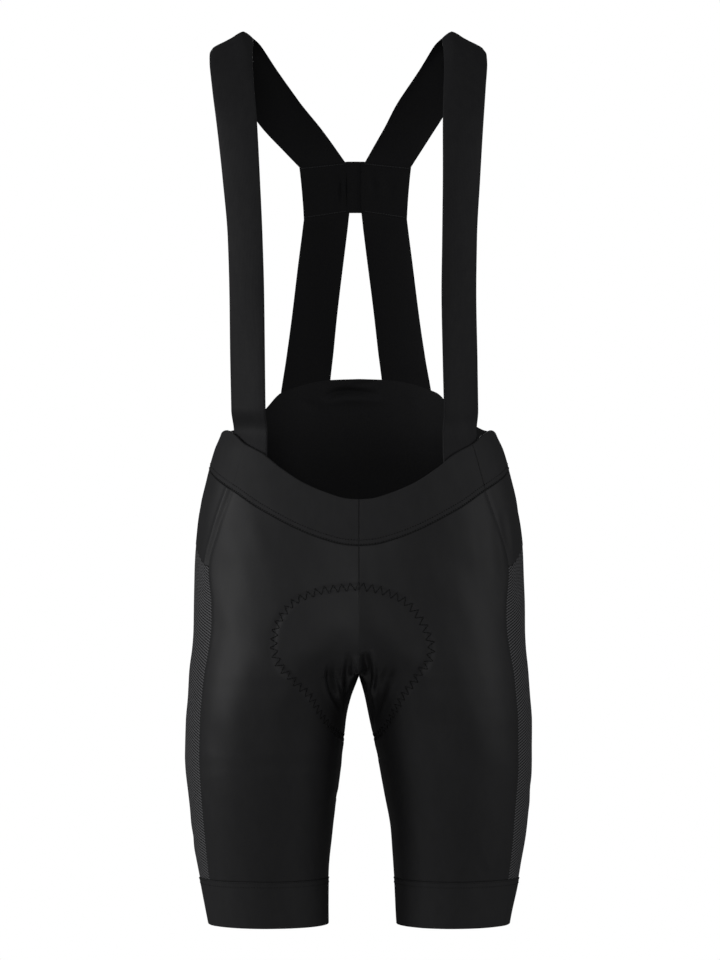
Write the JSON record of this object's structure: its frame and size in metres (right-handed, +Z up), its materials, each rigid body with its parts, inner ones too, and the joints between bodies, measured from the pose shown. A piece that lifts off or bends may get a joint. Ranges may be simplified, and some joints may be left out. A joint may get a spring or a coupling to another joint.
{
  "type": "padded cycling bib shorts",
  "caption": "Padded cycling bib shorts in worn form, hollow: curved front and back panels, net side panels, hem bands, waistband, seat pad and elastic straps meeting at a crosspiece",
  "frame": {"origin": "between the shoulders, at the height where the straps cross them, on the garment's middle plane", "axes": "+Z up along the body, front towards -Y, the wearer's left towards +X"},
  "size_m": [0.3474, 0.2419, 0.8903],
  "materials": {
    "shorts_knit": "black nylon and elastane warp knit with a soft sheen",
    "band_knit": "black doubled elastic knit, matte",
    "side_net": "black open net with grey specks",
    "strap_elastic": "black woven elastic, matte",
    "bib_knit": "black light knit, matte",
    "pad_foam": "dark brushed foam-backed knit"
  },
  "bodies": {
    "root": {"front_panel_l": "shorts_knit", "front_panel_r": "shorts_knit", "back_panel_l": "shorts_knit", "back_panel_r": "shorts_knit", "hip_panel_l": "shorts_knit", "hip_panel_r": "shorts_knit", "net_panel_l": "side_net", "net_panel_r": "side_net", "hem_band_l": "band_knit", "hem_band_r": "band_knit", "waistband_front_l": "band_knit", "waistband_front_r": "band_knit", "waistband_side_l": "band_knit", "waistband_side_r": "band_knit", "shoulder_strap_l": "strap_elastic", "shoulder_strap_r": "strap_elastic", "crosspiece_l": "strap_elastic", "crosspiece_r": "strap_elastic", "back_strap_l": "strap_elastic", "back_strap_r": "strap_elastic", "back_bib": "bib_knit", "crosspiece_join": "strap_elastic", "seat_pad": "pad_foam"}
  },
  "joints": []
}
